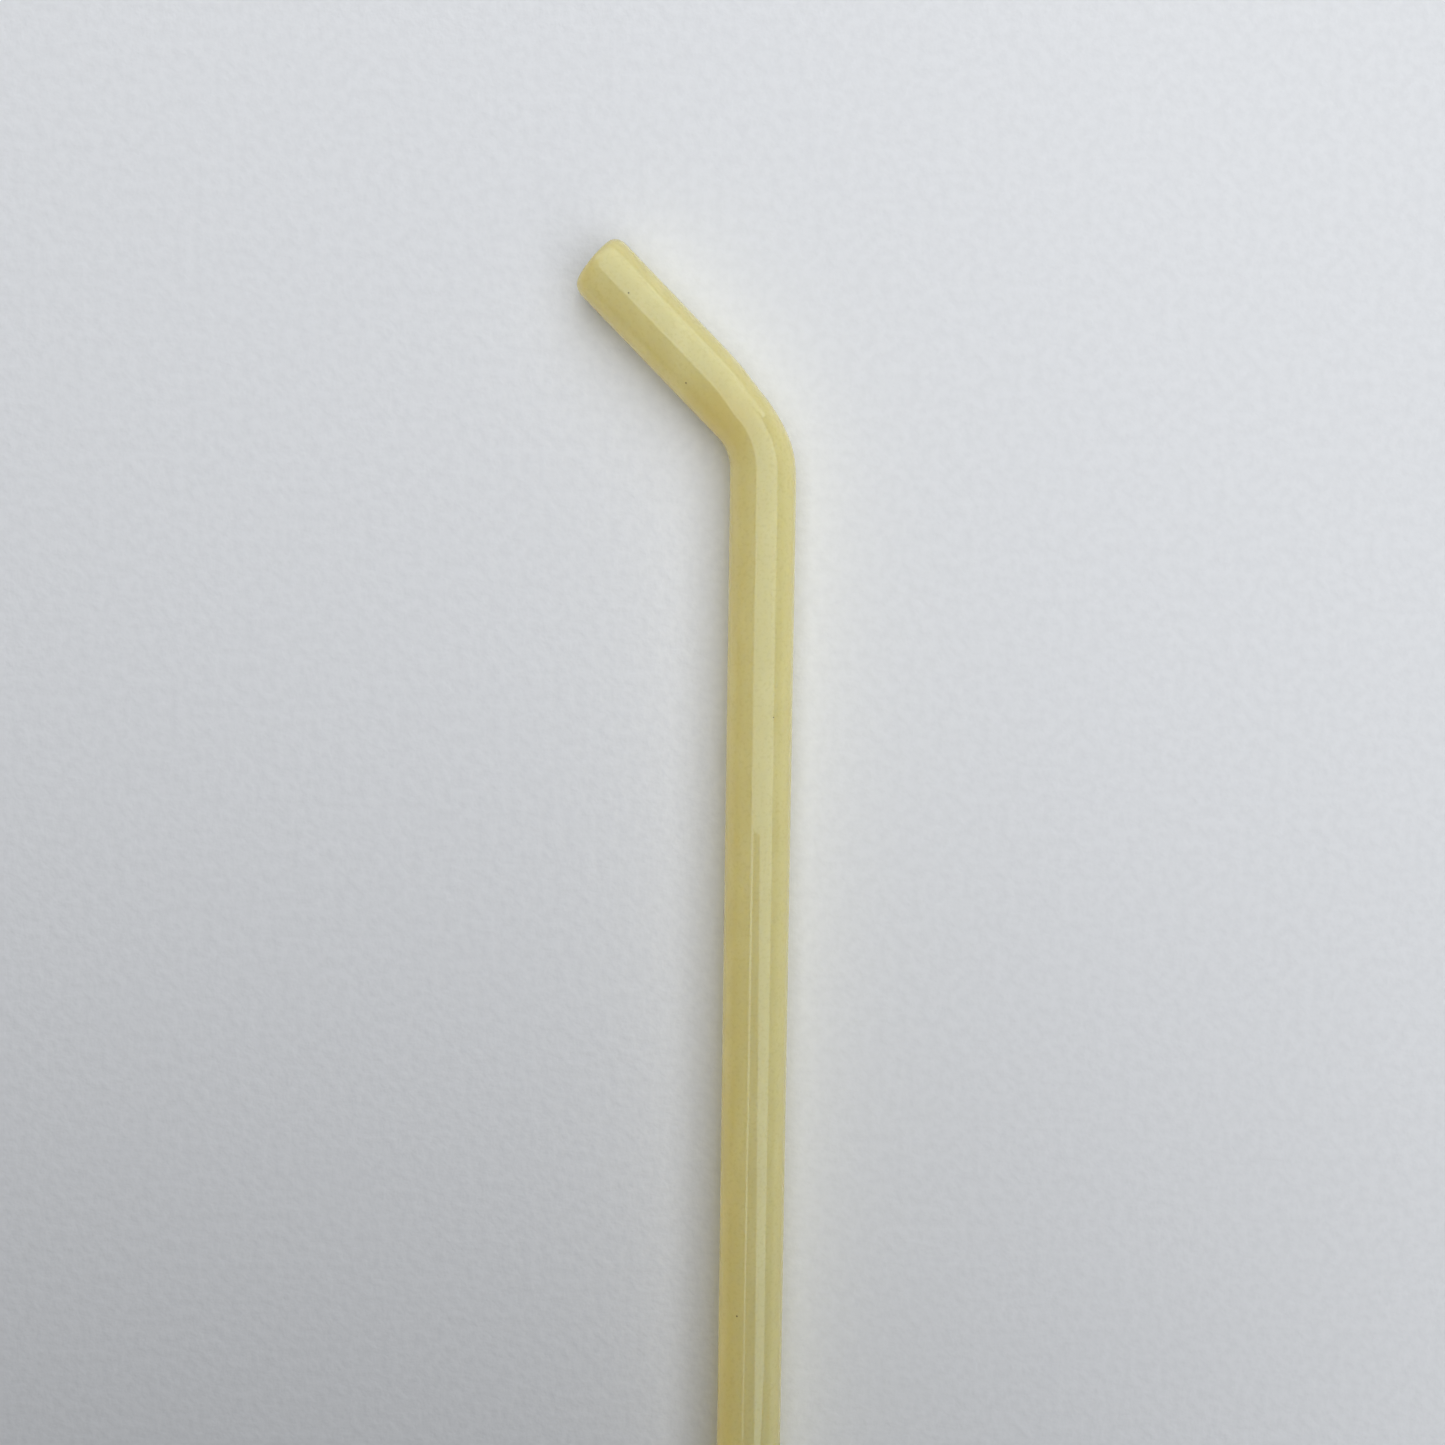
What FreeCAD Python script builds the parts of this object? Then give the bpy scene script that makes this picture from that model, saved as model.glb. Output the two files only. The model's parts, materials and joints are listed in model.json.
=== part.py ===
import FreeCAD, Part
import math
import os

# A bent glass drinking straw, lying flat. One length of opaque glass tube is heated
# near one end and bent, and both of its ends are melted to a rounded rim.
# All lengths are in millimetres, and all angles in degrees.

OUTER_DIAMETER = 9.5
BORE_DIAMETER = 6.0
DEVELOPED_LENGTH = 203.0      # the tube's length along its centre line
MOUTH_ARM = 34.3              # from the corner of the centre line to the mouth end
BEND_ANGLE = 45.0
BEND_RADIUS = 11.15           # of the centre line

# The heated outer wall sinks inwards round the bend, and most just before the arc ends.
SINK_DEPTH = 0.72
SINK_PEAK = 6.8               # along the centre line, from the arc's start
SINK_REACH = 11.5             # from the peak to where the tube is round again
LEAD = 2.0                    # round tube that is made together with the bend, at each end
SECTION_STEP = 0.6            # about how far apart the bend's sections are

# Each rim is two quarter ellipses that meet at its crest.
RIM_OUTER_LENGTH = 1.9        # along the tube
RIM_OUTER_WIDTH = 1.25        # across the wall
RIM_INNER_LENGTH = 0.6
RIM_BLANK = 2.0               # length of tube that is made together with a rim
MOUTH_SLANT = 0.08            # the mouth isn't cut quite square: its rise over its run

RADIUS = OUTER_DIAMETER / 2
BORE_RADIUS = BORE_DIAMETER / 2
ARC_LENGTH = BEND_RADIUS * math.radians(BEND_ANGLE)
CORNER = BEND_RADIUS * math.tan(math.radians(BEND_ANGLE) / 2)

# Distances along the centre line, from the arc's start towards the mouth.
BEND_START = SINK_PEAK - SINK_REACH - LEAD
BEND_END = SINK_PEAK + SINK_REACH + LEAD
MOUTH_END = ARC_LENGTH + MOUTH_ARM - CORNER
LOWER_END = MOUTH_END - DEVELOPED_LENGTH

UP = FreeCAD.Vector(0, 0, 1)


def centre_line(distance):
    """The centre line's point and its direction towards the mouth."""
    angle = min(max(distance, 0.0), ARC_LENGTH) / BEND_RADIUS
    straight = distance - angle * BEND_RADIUS
    forward = FreeCAD.Vector(-math.sin(angle), math.cos(angle), 0)
    across = BEND_RADIUS * (math.cos(angle) - 1)
    along = BEND_RADIUS * math.sin(angle) - CORNER
    return FreeCAD.Vector(across, along, RADIUS) + forward * straight, forward


def sink(distance):
    """How far the outer wall has sunk in: one smooth dip, and nothing beyond its reach."""
    offset = min(abs(distance - SINK_PEAK) / SINK_REACH, 1.0)
    return SINK_DEPTH * math.cos(math.pi * offset / 2) ** 4


def section(distance, radius):
    """The outline across the centre line: a circle, or an ellipse in the dip."""
    point, forward = centre_line(distance)
    half_sink = sink(distance) / 2
    ellipse = Part.Ellipse(point - forward.cross(UP) * half_sink, radius, radius - half_sink)
    ellipse.Axis = forward
    ellipse.XAxis = UP
    return Part.Wire(ellipse.toShape())


def bent_rod(radius):
    """A solid rod through the bend and its leads."""
    steps = round((BEND_END - BEND_START) / SECTION_STEP)
    step = (BEND_END - BEND_START) / steps
    sections = [section(BEND_START + step * index, radius) for index in range(steps + 1)]
    return Part.makeLoft(sections, True, False)


def straight_tube(start, end):
    """A plain stretch of tube between two distances."""
    point, forward = centre_line(start)
    outer = Part.makeCylinder(RADIUS, end - start, point, forward)
    bore = Part.makeCylinder(BORE_RADIUS, end - start, point, forward)
    return outer.cut(bore)


def quarter_ellipse(crest, side):
    """The arc from a rim's crest down to the wall at the side point."""
    centre = FreeCAD.Vector(crest.x, 0, side.z)
    return Part.ArcOfEllipse(Part.Ellipse(crest, side, centre), 0, math.pi / 2)


def rim_blank():
    """A rim with its crest at height 0, on a short tube that hangs down the Z axis."""
    crest = FreeCAD.Vector(RADIUS - RIM_OUTER_WIDTH, 0, 0)
    outer_side = FreeCAD.Vector(RADIUS, 0, -RIM_OUTER_LENGTH)
    inner_side = FreeCAD.Vector(BORE_RADIUS, 0, -RIM_INNER_LENGTH)
    outer_foot = FreeCAD.Vector(RADIUS, 0, -RIM_BLANK)
    inner_foot = FreeCAD.Vector(BORE_RADIUS, 0, -RIM_BLANK)
    outline = Part.Wire([
        quarter_ellipse(crest, outer_side).toShape(),
        Part.LineSegment(outer_side, outer_foot).toShape(),
        Part.LineSegment(outer_foot, inner_foot).toShape(),
        Part.LineSegment(inner_foot, inner_side).toShape(),
        quarter_ellipse(crest, inner_side).toShape(),
    ])
    return Part.Face(outline).revolve(FreeCAD.Vector(0, 0, 0), UP, 360)


def slanted(shape):
    """The shape with its upper side raised towards +X. A round wall along Z stays round."""
    shear = FreeCAD.Matrix()
    shear.A31 = MOUTH_SLANT
    return shape.transformGeometry(shear)


def at_end(shape, distance, leaving):
    """The shape with its Z axis leaving the tube's end, and its X axis in the bend's plane."""
    point, forward = centre_line(distance)
    outward = forward.cross(UP)
    heading = forward * leaving
    turn = FreeCAD.Rotation(outward, heading.cross(outward), heading, "ZXY")
    shape.Placement = FreeCAD.Placement(point, turn)
    return shape


def lower_part():
    """The long arm, which stands in the drink, with its rim."""
    arm = straight_tube(LOWER_END + RIM_BLANK, BEND_START)
    return arm.fuse(at_end(rim_blank(), LOWER_END, -1))


def mouth_part():
    """The short arm with its slanted rim."""
    beyond = Part.makeCylinder(OUTER_DIAMETER, 2 * RIM_BLANK, FreeCAD.Vector(0, 0, -RIM_BLANK))
    arm = straight_tube(BEND_END, MOUTH_END)
    arm = arm.cut(at_end(slanted(beyond), MOUTH_END, 1))
    return arm.fuse(at_end(slanted(rim_blank()), MOUTH_END, 1))


def straw():
    """The whole tube, with the middle of its underside at the origin."""
    bend = bent_rod(RADIUS).cut(bent_rod(BORE_RADIUS))
    tube = lower_part().fuse([bend, mouth_part()]).removeSplitter()
    box = tube.optimalBoundingBox(False, False)
    tube.translate(FreeCAD.Vector(-box.Center.x, -box.Center.y, -box.ZMin))
    return tube.Solids[0]


os.makedirs("parts", exist_ok=True)
straw().exportStep("parts/straw_tube.step")
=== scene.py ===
import json
import math

import bpy
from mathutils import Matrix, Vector


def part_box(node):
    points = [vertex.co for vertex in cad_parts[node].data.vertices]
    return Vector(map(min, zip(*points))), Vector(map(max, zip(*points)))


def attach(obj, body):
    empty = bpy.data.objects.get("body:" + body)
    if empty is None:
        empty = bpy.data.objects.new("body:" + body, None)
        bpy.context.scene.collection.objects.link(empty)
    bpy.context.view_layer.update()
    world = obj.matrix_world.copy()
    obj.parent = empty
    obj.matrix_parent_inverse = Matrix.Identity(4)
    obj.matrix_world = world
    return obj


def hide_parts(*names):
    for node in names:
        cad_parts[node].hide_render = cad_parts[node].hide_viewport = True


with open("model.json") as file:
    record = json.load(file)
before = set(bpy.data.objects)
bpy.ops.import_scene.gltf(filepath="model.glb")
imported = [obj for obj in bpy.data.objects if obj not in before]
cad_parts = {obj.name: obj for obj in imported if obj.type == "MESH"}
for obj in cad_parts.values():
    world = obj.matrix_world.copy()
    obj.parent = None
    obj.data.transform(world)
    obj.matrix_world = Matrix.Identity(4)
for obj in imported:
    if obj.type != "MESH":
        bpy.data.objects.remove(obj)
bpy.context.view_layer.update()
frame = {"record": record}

# The object is a bent drinking straw of opaque, ivory-yellow opal glass, lying on a pale floor.
# Lengths are in metres and angles in radians. The tube's radii, its place and the bend's angle come
# from the frame, and the other sizes are those that the frame doesn't state.

mounts = {mount["name"]: mount for mount in frame["record"]["mounts"]}
RADIUS = mounts["stem"]["dims"]["r_mm"] / 1000
BORE_RADIUS = mounts["intake_bore"]["dims"]["r_mm"] / 1000
AXIS_X, _, AXIS_Z = mounts["stem"]["pos_m"]
LOWER_END_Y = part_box("straw_tube")[0].y
MOUTH_DIRECTION = mounts["mouth_arm"]["axis"]

DEVELOPED_LENGTH = 0.203
MOUTH_ARM = 0.0343              # from the corner of the centre line to the mouth
BEND_RADIUS = 0.01115
SINK_DEPTH = 0.00072            # how far the bend's outer wall has sunk in
SINK_PEAK = 0.0068              # along the centre line, from the arc's start
SINK_REACH = 0.0115             # from the peak to where the tube is round again
RIM_OUTER_LENGTH = 0.0019       # along the tube
RIM_OUTER_WIDTH = 0.00125       # across the wall
RIM_INNER_LENGTH = 0.0006
MOUTH_SLANT = 0.08              # its rise over its run

# Distances along the centre line run from the arc's start towards the mouth.
BEND_ANGLE = math.atan2(-MOUTH_DIRECTION[0], MOUTH_DIRECTION[1])
ARC_LENGTH = BEND_RADIUS * BEND_ANGLE
CORNER = BEND_RADIUS * math.tan(BEND_ANGLE / 2)
MOUTH_END = ARC_LENGTH + MOUTH_ARM - CORNER
LOWER_END = MOUTH_END - DEVELOPED_LENGTH
ARC_START_Y = LOWER_END_Y - LOWER_END

AROUND = 144                    # faces around the tube
STRAIGHT_STEP = 0.0015          # between rings on the straight arms
BEND_STEP = 0.0003
BEND_MARGIN = 0.0008            # how far the close rings run on past the dip
RIM_STEPS = 14                  # rings over each half of a rim
UP = Vector((0, 0, 1))


# ---- small helpers ----

def new_object(name, data):
    made = bpy.data.objects.new(name, data)
    bpy.context.scene.collection.objects.link(made)
    return made


def new_mesh(name, points, faces, smooth=True):
    mesh = bpy.data.meshes.new(name)
    mesh.from_pydata([tuple(point) for point in points], [], faces)
    mesh.validate()
    mesh.polygons.foreach_set("use_smooth", [smooth] * len(mesh.polygons))
    return new_object(name, mesh)


# ---- the straw ----

def centre_line(distance):
    """The centre line's point and its direction towards the mouth."""
    angle = min(max(distance, 0.0), ARC_LENGTH) / BEND_RADIUS
    straight = distance - angle * BEND_RADIUS
    forward = Vector((-math.sin(angle), math.cos(angle), 0))
    x = AXIS_X + BEND_RADIUS * (math.cos(angle) - 1)
    y = ARC_START_Y + BEND_RADIUS * math.sin(angle)
    return Vector((x, y, AXIS_Z)) + forward * straight, forward


def sink(distance):
    """How far the heated outer wall has sunk in."""
    offset = min(abs(distance - SINK_PEAK) / SINK_REACH, 1.0)
    return SINK_DEPTH * math.cos(math.pi * offset / 2) ** 4


def ring(distance, radius, slant):
    """Points round the tube's wall, from its outer side over the top."""
    point, forward = centre_line(distance)
    outward = forward.cross(UP)
    half_sink = sink(distance) / 2
    points = []
    for index in range(AROUND):
        angle = 2 * math.pi * index / AROUND
        across = (radius - half_sink) * math.cos(angle) - half_sink
        lean = slant * radius * math.cos(angle)
        points.append(point + outward * across + UP * radius * math.sin(angle) + forward * lean)
    return points


def rim_profile(end, leaving):
    """Distances and radii over a melted rim, from the outer wall to the bore. Leaving is 1 or -1."""
    crest = RADIUS - RIM_OUTER_WIDTH
    inner_width = crest - BORE_RADIUS
    turns = [math.pi / 2 * step / RIM_STEPS for step in range(RIM_STEPS + 1)]
    profile = []
    for turn in turns:
        back = RIM_OUTER_LENGTH * (1 - math.sin(turn))
        profile.append((end - leaving * back, crest + RIM_OUTER_WIDTH * math.cos(turn)))
    for turn in turns[1:]:
        back = RIM_INNER_LENGTH * (1 - math.cos(turn))
        profile.append((end - leaving * back, crest - inner_width * math.sin(turn)))
    return profile


def spread(start, end, step):
    """Evenly spaced distances between two ends, which are left out."""
    count = max(1, round((end - start) / step))
    return [start + (end - start) * index / count for index in range(1, count)]


def wall_distances(lower, upper):
    """Ring places along one wall, closer together round the bend."""
    bend_start = SINK_PEAK - SINK_REACH - BEND_MARGIN
    bend_end = SINK_PEAK + SINK_REACH + BEND_MARGIN
    return (
        spread(lower, bend_start, STRAIGHT_STEP)
        + [bend_start]
        + spread(bend_start, bend_end, BEND_STEP)
        + [bend_end]
        + spread(bend_end, upper, STRAIGHT_STEP)
    )


def straw_mesh():
    """The whole closed surface: up the outer wall, over the mouth's rim, down the bore and round."""
    outer_wall = wall_distances(LOWER_END + RIM_OUTER_LENGTH, MOUTH_END - RIM_OUTER_LENGTH)
    bore_wall = wall_distances(LOWER_END + RIM_INNER_LENGTH, MOUTH_END - RIM_INNER_LENGTH)
    stops = [(distance, RADIUS, 0.0) for distance in outer_wall]
    stops += [(*stop, MOUTH_SLANT) for stop in rim_profile(MOUTH_END, 1)]
    stops += [(distance, BORE_RADIUS, 0.0) for distance in reversed(bore_wall)]
    stops += [(*stop, 0.0) for stop in reversed(rim_profile(LOWER_END, -1))]
    points = []
    for stop in stops:
        points += ring(*stop)
    faces = []
    for row in range(len(stops)):
        following = (row + 1) % len(stops)
        for index in range(AROUND):
            beside = (index + 1) % AROUND
            faces.append((
                row * AROUND + index, following * AROUND + index,
                following * AROUND + beside, row * AROUND + beside,
            ))
    return new_mesh("straw_glass", points, faces)


straw = straw_mesh()
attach(straw, "root")
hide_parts("straw_tube")


# ---- materials ----

def principled(name):
    material = bpy.data.materials.new(name)
    material.use_nodes = True
    nodes = material.node_tree.nodes
    return material, nodes, material.node_tree.links, nodes["Principled BSDF"]


def noise_value(nodes, links, place, scale, detail):
    """Smooth noise over the object's own coordinates, about 0.5 on average."""
    noise = nodes.new("ShaderNodeTexNoise")
    noise.inputs["Scale"].default_value = scale
    noise.inputs["Detail"].default_value = detail
    links.new(place, noise.inputs["Vector"])
    return noise.outputs["Fac"]


def stretch(nodes, links, place, factors):
    """Coordinates scaled along each axis. Noise is drawn out along an axis with a small factor."""
    mapping = nodes.new("ShaderNodeMapping")
    mapping.inputs["Scale"].default_value = factors
    links.new(place, mapping.inputs["Vector"])
    return mapping.outputs["Vector"]


def ramp(nodes, links, value, low, high):
    """0 below the low value and 1 above the high one, with a smooth rise between."""
    step = nodes.new("ShaderNodeMapRange")
    step.interpolation_type = "SMOOTHSTEP"
    step.inputs["From Min"].default_value = low
    step.inputs["From Max"].default_value = high
    links.new(value, step.inputs["Value"])
    return step.outputs["Result"]


def blend(nodes, links, factor, below, colour):
    """The colour laid over the one below by the factor."""
    mix = nodes.new("ShaderNodeMix")
    mix.data_type = "RGBA"
    links.new(factor, mix.inputs["Factor"])
    links.new(below, mix.inputs["A"])
    mix.inputs["B"].default_value = (*colour, 1)
    return mix.outputs["Result"]


def near(nodes, links, place, spot, inner, outer):
    """1 within the inner distance of a spot and 0 beyond the outer one."""
    distance = nodes.new("ShaderNodeVectorMath")
    distance.operation = "DISTANCE"
    links.new(place, distance.inputs[0])
    distance.inputs[1].default_value = spot
    return ramp(nodes, links, distance.outputs["Value"], outer, inner)


def scaled(nodes, links, value, factor):
    """The value times a plain number."""
    times = nodes.new("ShaderNodeMath")
    times.operation = "MULTIPLY"
    times.inputs[1].default_value = factor
    links.new(value, times.inputs[0])
    return times.outputs["Value"]


def product(nodes, links, first, second):
    """One value times another."""
    times = nodes.new("ShaderNodeMath")
    times.operation = "MULTIPLY"
    links.new(first, times.inputs[0])
    links.new(second, times.inputs[1])
    return times.outputs["Value"]


def plain_colour(nodes, colour):
    """A colour to lay others over."""
    node = nodes.new("ShaderNodeRGB")
    node.outputs["Color"].default_value = (*colour, 1)
    return node.outputs["Color"]


def bump(nodes, links, shader, height, distance):
    """Gives the surface a relief that follows the height value, over this distance."""
    relief = nodes.new("ShaderNodeBump")
    relief.inputs["Strength"].default_value = 1.0
    relief.inputs["Distance"].default_value = distance
    links.new(height, relief.inputs["Height"])
    links.new(relief.outputs["Normal"], shader.inputs["Normal"])


BODY = (0.58, 0.53, 0.272)
CLEARER = (0.50, 0.445, 0.21)
CLOUDY = (0.63, 0.585, 0.325)
# The amber below is painted shade for the inner side of the bend.
PAINTED_SHADE_AMBER = (0.56, 0.46, 0.165)
SPECK = (0.13, 0.11, 0.07)
CLOUD_SCALE = 260.0             # noise cells in a metre
CLOUD_DETAIL = 4.0              # how many finer layers the noise has
CLOUD_STRETCH = (1.0, 0.35, 1.0)     # along the tube, the clouds are about three times as long
CLOUD_RANGE = (0.42, 0.75)      # the noise from no cloud to full cloud
CLOUD_AMOUNT = 0.5
FINE_SCALE = 1900.0
FINE_DETAIL = 2.0
FINE_RANGE = (0.48, 0.72)
FINE_AMOUNT = 0.35
WAVE_SCALE = 420.0              # of the slight waves that run along the tube
WAVE_DETAIL = 1.0
WAVE_STRETCH = (1.0, 0.06, 1.0)
WAVE_DEPTH = 0.00002
GLASS_ROUGHNESS = 0.02
GLASS_IOR = 1.5
SCATTER_RADIUS = (1.0, 0.85, 0.5)
SCATTER_DEPTH = 0.0015
SPECKS = [
    # its place on the wall and its radius
    ((-0.00828, 0.09003, 0.00950), 0.00012),
    ((-0.00019, 0.07796, 0.00845), 0.00013),
    ((0.00882, -0.05680, 0.00897), 0.00014),
    ((0.0128, 0.0312, 0.00915), 0.00009),
    ((0.0147, -0.0871, 0.00776), 0.00010),
]
SPECK_CORE = 0.5                # of its radius, where it is fully dark
SPECK_EDGE = 1.4                # of its radius, where it has faded out
PAINTED_SHADE_SPOT = (0.0046, 0.0729, 0.0086)     # painted shade: a darker amber spot on the inner side of the bend, where the glass lies in shade
PAINTED_SHADE_CORE = 0.0005
PAINTED_SHADE_EDGE = 0.0085
PAINTED_SHADE_AMOUNT = 0.5


def opal_glass():
    """Ivory-yellow glass with faint clouds, fine clearer patches, a few specks and a darker amber tint of
    painted shade on the inner side of the bend.
    """
    material, nodes, links, shader = principled("opal_glass")
    place = nodes.new("ShaderNodeTexCoord").outputs["Object"]
    drawn_out = stretch(nodes, links, place, CLOUD_STRETCH)
    clouds = noise_value(nodes, links, drawn_out, CLOUD_SCALE, CLOUD_DETAIL)
    cloudy = scaled(nodes, links, ramp(nodes, links, clouds, *CLOUD_RANGE), CLOUD_AMOUNT)
    colour = blend(nodes, links, cloudy, plain_colour(nodes, BODY), CLOUDY)
    fine = noise_value(nodes, links, place, FINE_SCALE, FINE_DETAIL)
    clearer = scaled(nodes, links, ramp(nodes, links, fine, *FINE_RANGE), FINE_AMOUNT)
    colour = blend(nodes, links, clearer, colour, CLEARER)
    # Painted shade: the inner side of the bend is blended towards a darker amber.
    painted_shade = near(nodes, links, place, PAINTED_SHADE_SPOT, PAINTED_SHADE_CORE, PAINTED_SHADE_EDGE)
    colour = blend(nodes, links, scaled(nodes, links, painted_shade, PAINTED_SHADE_AMOUNT), colour, PAINTED_SHADE_AMBER)
    for spot, size in SPECKS:
        dark = near(nodes, links, place, spot, size * SPECK_CORE, size * SPECK_EDGE)
        colour = blend(nodes, links, dark, colour, SPECK)
    links.new(colour, shader.inputs["Base Color"])
    lengthwise = stretch(nodes, links, place, WAVE_STRETCH)
    waves = noise_value(nodes, links, lengthwise, WAVE_SCALE, WAVE_DETAIL)
    bump(nodes, links, shader, waves, WAVE_DEPTH)
    shader.inputs["Roughness"].default_value = GLASS_ROUGHNESS
    shader.inputs["IOR"].default_value = GLASS_IOR
    shader.inputs["Subsurface Weight"].default_value = 1.0
    shader.inputs["Subsurface Radius"].default_value = SCATTER_RADIUS
    shader.inputs["Subsurface Scale"].default_value = SCATTER_DEPTH
    return material


straw.data.materials.append(opal_glass())


SKY = (0.975, 1.0, 1.045)       # the daylight's colour
SHEET = (0.785, 0.785, 0.785)
SHEET_GRAIN = (0.815, 0.815, 0.815)
SHEET_ROUGHNESS = 0.9
SHEET_GLOSS = 0.2
GRAIN_SCALE = 620.0
GRAIN_DETAIL = 3.0
GRAIN_RANGE = (0.3, 0.7)
GRAIN_DEPTH = 0.00016
GLOW = 0.28
GLOW_ALONG = (-0.09, -0.19)     # Y from no glow to full glow
GLOW_ACROSS = (0.16, -0.06)     # X from no glow to full glow
FLOOR_X = (-0.42, 0.45)
FLOOR_Y = (-0.26, 0.50)


def paper():
    """White paper with a soft grain. It glows a little past the lower end, where the flags shade it."""
    material, nodes, links, shader = principled("floor_paper")
    shader.inputs["Roughness"].default_value = SHEET_ROUGHNESS
    shader.inputs["Specular IOR Level"].default_value = SHEET_GLOSS
    place = nodes.new("ShaderNodeTexCoord").outputs["Object"]
    grain = noise_value(nodes, links, place, GRAIN_SCALE, GRAIN_DETAIL)
    raised = ramp(nodes, links, grain, *GRAIN_RANGE)
    colour = blend(nodes, links, raised, plain_colour(nodes, SHEET), SHEET_GRAIN)
    links.new(colour, shader.inputs["Base Color"])
    bump(nodes, links, shader, grain, GRAIN_DEPTH)
    parts = nodes.new("ShaderNodeSeparateXYZ")
    links.new(place, parts.inputs["Vector"])
    beyond = ramp(nodes, links, parts.outputs["Y"], *GLOW_ALONG)
    beside = ramp(nodes, links, parts.outputs["X"], *GLOW_ACROSS)
    glow = scaled(nodes, links, product(nodes, links, beyond, beside), GLOW)
    shader.inputs["Emission Color"].default_value = (*SKY, 1)
    links.new(glow, shader.inputs["Emission Strength"])
    return material


# ---- floor, light and camera ----

def level(z, x1, x2, y1, y2):
    """A level rectangle."""
    return [(x1, y1, z), (x2, y1, z), (x2, y2, z), (x1, y2, z)]


def upright_y(x, y1, y2, z1, z2):
    """An upright rectangle along Y."""
    return [(x, y1, z1), (x, y2, z1), (x, y2, z2), (x, y1, z2)]


def upright_x(y, x1, x2, z1, z2):
    """An upright rectangle along X."""
    return [(x1, y, z1), (x2, y, z1), (x2, y, z2), (x1, y, z2)]


floor = new_mesh("floor", level(0, *FLOOR_X, *FLOOR_Y), [(0, 1, 2, 3)], smooth=False)
floor.data.materials.append(paper())

MIRRORED_SKY = (0.92, 1.05, 0.95)     # what the gloss shows of it


def glowing(name, colour, strength):
    """A surface that gives off even light, or plain black at strength 0."""
    material = bpy.data.materials.new(name)
    material.use_nodes = True
    nodes = material.node_tree.nodes
    nodes.clear()
    emission = nodes.new("ShaderNodeEmission")
    emission.inputs["Color"].default_value = (*colour, 1)
    emission.inputs["Strength"].default_value = strength
    output = nodes.new("ShaderNodeOutputMaterial")
    material.node_tree.links.new(emission.outputs["Emission"], output.inputs["Surface"])
    return material


def panel(name, outline, colour, strength):
    """A flat glowing panel, or a black flag at strength 0. The camera doesn't see it."""
    made = new_mesh(name, outline, [tuple(range(len(outline)))], smooth=False)
    made.data.materials.append(glowing(name, colour, strength))
    made.visible_camera = False
    made.visible_transmission = False
    return made


def soft_panel(name, outline, strength):
    """It lights or shades the scene, and the gloss doesn't mirror it."""
    made = panel(name, outline, SKY, strength)
    made.visible_glossy = False


def mirror_card(name, outline, strength):
    """The gloss mirrors it, and it neither lights nor shades anything."""
    card = panel(name, outline, MIRRORED_SKY, strength)
    card.visible_diffuse = False
    card.visible_shadow = False


# One large softbox lights everything, and two black flags shade the floor towards the lower end.
soft_panel("softbox", level(1.5, -0.73, 1.73, -2.6, 3.2), strength=1.69)
soft_panel("near_flag", level(0.196, -0.102, 0.129, -0.303, -0.052), strength=0)
soft_panel("far_flag", level(0.322, -0.536, 0.015, -1.247, -0.110), strength=0)

straw_only = bpy.data.collections.new("straw_only")
straw_only.objects.link(straw)


def straw_light(name, outline, colour, strength):
    """A panel that lights only the straw, like the light that spreads inside the glass."""
    made = panel(name, outline, colour, strength)
    made.visible_glossy = False
    made.light_linking.receiver_collection = straw_only
    made.light_linking.blocker_collection = straw_only


WARM = (1.0, 0.83, 0.23)
PALE_WARM = (1.0, 0.93, 0.43)
ORANGE = (1.0, 0.52, 0.1)
YELLOW = (1.0, 0.98, 0.42)
UNDER_Z = -0.05                 # the floor doesn't block the light of the two panels below it
straw_light("left_fill", upright_y(-0.5, -0.9, 0.2, 0.0, 0.4), WARM, strength=1.85)
straw_light("right_fill", upright_y(0.4, 0.05, 0.6, 0.0, 0.3), PALE_WARM, strength=1.75)
straw_light("under_left_fill", level(UNDER_Z, -0.35, 0.0, -0.1, 0.4), ORANGE, strength=1.9)
straw_light("under_right_fill", level(UNDER_Z, 0.02, 0.35, -0.1, 0.4), YELLOW, strength=4.2)

# The cards that the gloss mirrors stand for a window. The straw's top mirrors the large card overhead,
# which has a notch where something was held over the straw. A slope is a run in X or Y over the rise
# from the place on the straw that mirrors the point.
CARD_RISE = 0.30
MIRRORING_Z = 0.0093
CARD_Z = CARD_RISE + MIRRORING_Z
CARD_FOOT_Z = 0.001
LEFT_SLOPE = -0.483
RIGHT_SLOPE = 1.159
NOTCH_FOOT_SLOPES = (-0.41, 0.378)
NOTCH_TOP_SLOPES = (-0.302, 0.091)
NOTCH_MIRRORING_Y = 0.0144
NOTCH_SLOPE = -0.149
NOTCH_TOP_Y = NOTCH_MIRRORING_Y + NOTCH_SLOPE * CARD_RISE
NEAR_MIRRORING_Y = -0.115
NEAR_SLOPE = -0.57
NEAR_Y = NEAR_MIRRORING_Y + NEAR_SLOPE * CARD_RISE
FAR_Y = 0.40
SIDE_SPLIT_Z = 0.077            # between the side's two cards
BACK_SPLIT_Z = 0.084
SIDE_NEAR_Y = -0.45
SIDE_FAR_Y = 0.11
BACK_LEFT_X = -0.35
BACK_RIGHT_X = 0.44


def over(slope):
    """X on the overhead card, straight along this slope from the long arm's axis."""
    return AXIS_X + slope * CARD_RISE


def at_height(z, outline):
    """The flat outline at one height."""
    return [(x, y, z) for x, y in outline]


mirror_card("mirror_top", at_height(CARD_Z, [
    (over(LEFT_SLOPE), FAR_Y), (over(LEFT_SLOPE), NEAR_Y),
    (over(NOTCH_FOOT_SLOPES[0]), NEAR_Y), (over(NOTCH_TOP_SLOPES[0]), NOTCH_TOP_Y),
    (over(NOTCH_TOP_SLOPES[1]), NOTCH_TOP_Y), (over(NOTCH_FOOT_SLOPES[1]), NEAR_Y),
    (over(RIGHT_SLOPE), NEAR_Y), (over(RIGHT_SLOPE), FAR_Y),
]), strength=2.25)

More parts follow.
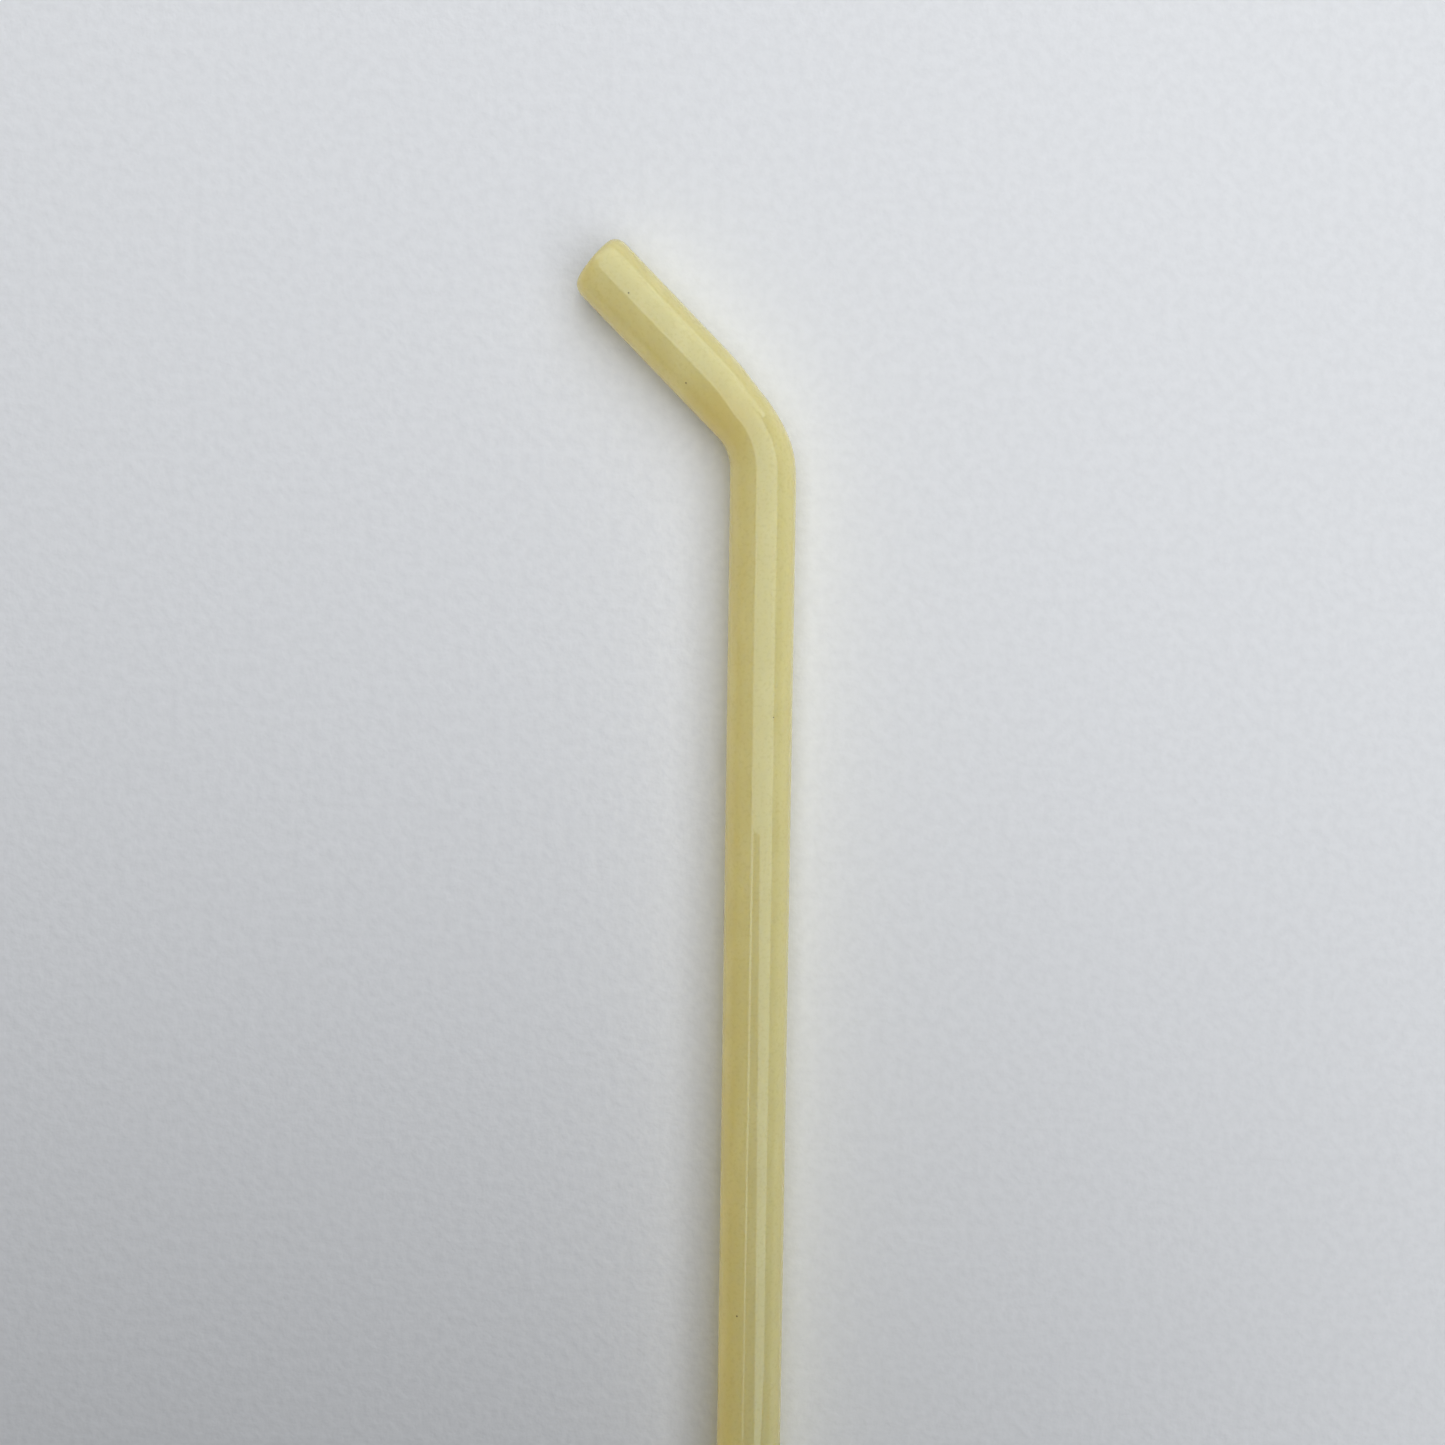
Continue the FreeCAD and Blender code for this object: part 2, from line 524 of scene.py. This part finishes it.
SIDE_X = over(RIGHT_SLOPE)
right_outline = upright_y(SIDE_X, SIDE_NEAR_Y, SIDE_FAR_Y, SIDE_SPLIT_Z, CARD_Z)
back_outline = upright_x(FAR_Y, BACK_LEFT_X, BACK_RIGHT_X, BACK_SPLIT_Z, CARD_Z)
low_right_outline = upright_y(SIDE_X, SIDE_NEAR_Y, FAR_Y, CARD_FOOT_Z, SIDE_SPLIT_Z)
low_back_outline = upright_x(FAR_Y, BACK_LEFT_X, SIDE_X, CARD_FOOT_Z, BACK_SPLIT_Z)
mirror_card("mirror_right", right_outline, strength=0.2)
mirror_card("mirror_back", back_outline, strength=2.45)
mirror_card("mirror_low_right", low_right_outline, strength=0.7)
mirror_card("mirror_low_back", low_back_outline, strength=0.7)

# A small dark card ends the window's reflection along the left side of the bend and the mouth arm.
FLAG_Z = 0.022
mirror_card("mirror_flag", at_height(FLAG_Z, [
    (0.0036, 0.0660), (0.0036, 0.0678), (0.0026, 0.0700), (0.00245, 0.0721), (0.0019, 0.0758),
    (0.00134, 0.0767), (-0.0200, 0.0981), (-0.0320, 0.0900), (-0.0060, 0.0620),
]), strength=0)

# A pale closed room that only the camera sees.
ROOM_HALF = 2.95
ROOM_GLOW = 0.62
ROOM_CORNERS = [(-1, -1), (1, -1), (1, 1), (-1, 1)]
backdrop = new_mesh(
    "backdrop",
    [(x * ROOM_HALF, y * ROOM_HALF, z * ROOM_HALF) for z in (-1, 1) for x, y in ROOM_CORNERS],
    [(0, 1, 5, 4), (1, 2, 6, 5), (2, 3, 7, 6), (3, 0, 4, 7), (4, 5, 6, 7), (0, 3, 2, 1)],
    smooth=False,
)
backdrop.data.materials.append(glowing("backdrop", SKY, ROOM_GLOW))
backdrop.visible_diffuse = False
backdrop.visible_glossy = False
backdrop.visible_transmission = False
backdrop.visible_shadow = False

# Even light from all round, which fills the shadows.
WORLD_GLOW = 0.11
world = bpy.data.worlds.new("room")
world.use_nodes = True
background = world.node_tree.nodes["Background"]
background.inputs["Color"].default_value = (*SKY, 1)
background.inputs["Strength"].default_value = WORLD_GLOW
bpy.context.scene.world = world

# The camera looks almost straight down at the mouth arm and the upper part of the long arm.
CAMERA_PLACE = (-0.000057, 0.049637, 0.244957)
CAMERA_TURN = (-4.68228, -1.29961, 0.76784)     # degrees about X, Y and Z
camera_data = bpy.data.cameras.new("camera")
camera_data.sensor_width = 36.0
camera_data.lens = 41.53
camera_data.clip_start = 0.01
camera = new_object("camera", camera_data)
camera.location = CAMERA_PLACE
camera.rotation_euler = [math.radians(turn) for turn in CAMERA_TURN]
bpy.context.scene.camera = camera

bpy.context.scene.view_settings.view_transform = "Standard"
